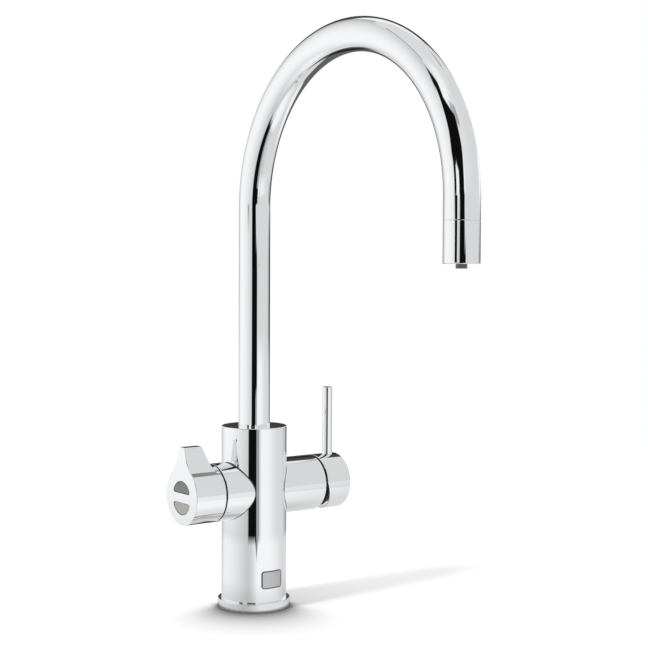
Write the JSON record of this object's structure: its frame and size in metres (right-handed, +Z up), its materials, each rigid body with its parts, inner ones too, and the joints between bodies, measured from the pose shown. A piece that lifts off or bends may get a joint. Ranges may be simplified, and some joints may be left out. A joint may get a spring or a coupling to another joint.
{
  "type": "filter kitchen mixer tap",
  "caption": "Deck-mounted kitchen mixer tap with a swivelling gooseneck spout, a side lever mixer and a turning filtered water handle with push buttons.",
  "frame": {"origin": "centre of the flange's underside, where the tap rests on the deck", "axes": "+Z up, spout along -Y towards the basin, filter handle on -X, mixer lever on +X"},
  "size_m": [0.1378, 0.2613, 0.4755],
  "materials": {
    "chrome": "polished chrome plate",
    "badge": "polished plate, bare",
    "brass": "machined",
    "steel": "plain stainless",
    "zinc": "die cast zinc alloy",
    "rubber": "black rubber",
    "white_plastic": "moulded",
    "grey_plastic": "moulded",
    "dark_plastic": "moulded",
    "nozzle": "dark grey moulded",
    "ceramic": "lapped alumina",
    "silicone": "silicone",
    "board": "circuit board",
    "upper_button": "dark translucent window",
    "lower_button": "pale translucent window"
  },
  "bodies": {
    "base": {"base_ring": "chrome", "base_seal": "rubber", "column": "chrome", "badge_plate": "badge", "inlet_block": "brass", "filter_inlet_bush": "brass", "cold_inlet_bush": "brass", "hot_inlet_bush": "brass", "shank": "brass", "deck_washer": "rubber", "clamp_washer": "steel", "back_nut": "brass", "stop_screw": "steel", "filter_hub": "chrome", "filter_valve": "brass", "valve_nut": "brass", "hub_washer": "dark_plastic", "mixer_stub": "chrome", "cartridge_seal": "rubber", "cartridge_base": "grey_plastic", "cartridge_housing": "grey_plastic", "fixed_disc": "ceramic", "cartridge_nut": "brass", "dome_cover": "dark_plastic"},
    "spout": {"spout_tube": "chrome", "spout_foot": "brass", "upper_slide_ring": "white_plastic", "lower_slide_ring": "white_plastic", "upper_o_ring": "rubber", "lower_o_ring": "rubber", "inner_tube": "steel", "outlet_collar": "chrome", "aerator_washer": "rubber", "aerator": "white_plastic", "filter_nozzle": "nozzle"},
    "filter_handle": {"filter_spindle": "steel", "filter_handle": "chrome", "handle_insert": "zinc", "handle_grub_screw": "steel", "button_frame": "dark_plastic", "dome_pad": "silicone", "button_board": "board"},
    "upper_button": {"upper_button": "upper_button"},
    "lower_button": {"lower_button": "lower_button"},
    "mixer_turn": {"lever_carrier": "dark_plastic", "lever_pin": "steel"},
    "ceramic_slide": {"moving_disc": "ceramic"},
    "mixer_knob": {"lever_stem": "steel", "mixer_knob": "chrome", "pin_lever": "chrome", "knob_grub_screw": "steel"}
  },
  "joints": [
    {"name": "spout_swivel", "type": "hinge", "parent": "base", "child": "spout", "pos_m": [0, 0, 0.1], "axis": [0, 0, 1], "range_deg": [-90, 90]},
    {"name": "filter_turn", "type": "hinge", "parent": "base", "child": "filter_handle", "pos_m": [-0.05, 0, 0.0868], "axis": [1, 0, 0], "range_deg": [-35, 35]},
    {"name": "upper_button_press", "type": "slide", "parent": "filter_handle", "child": "upper_button", "axis": [1, 0, 0], "range_m": [0, 0.0008], "stiffness_N_per_m": 1500},
    {"name": "lower_button_press", "type": "slide", "parent": "filter_handle", "child": "lower_button", "axis": [1, 0, 0], "range_m": [0, 0.0008], "stiffness_N_per_m": 1500},
    {"name": "mixer_temperature", "type": "hinge", "parent": "base", "child": "mixer_turn", "pos_m": [0.05, 0, 0.0868], "axis": [1, 0, 0], "range_deg": [-45, 45]},
    {"name": "mixer_flow", "type": "hinge", "parent": "mixer_turn", "child": "mixer_knob", "pos_m": [0.044, 0, 0.0868], "axis": [0, 1, 0], "range_deg": [0, 18]},
    {"name": "disc_slide", "type": "slide", "parent": "mixer_turn", "child": "ceramic_slide", "axis": [0, 0, 1], "range_m": [0, 0.0048]}
  ],
  "couplings": [
    {"joint": "disc_slide", "follows": "mixer_flow", "m_per_rad": 0.015}
  ]
}
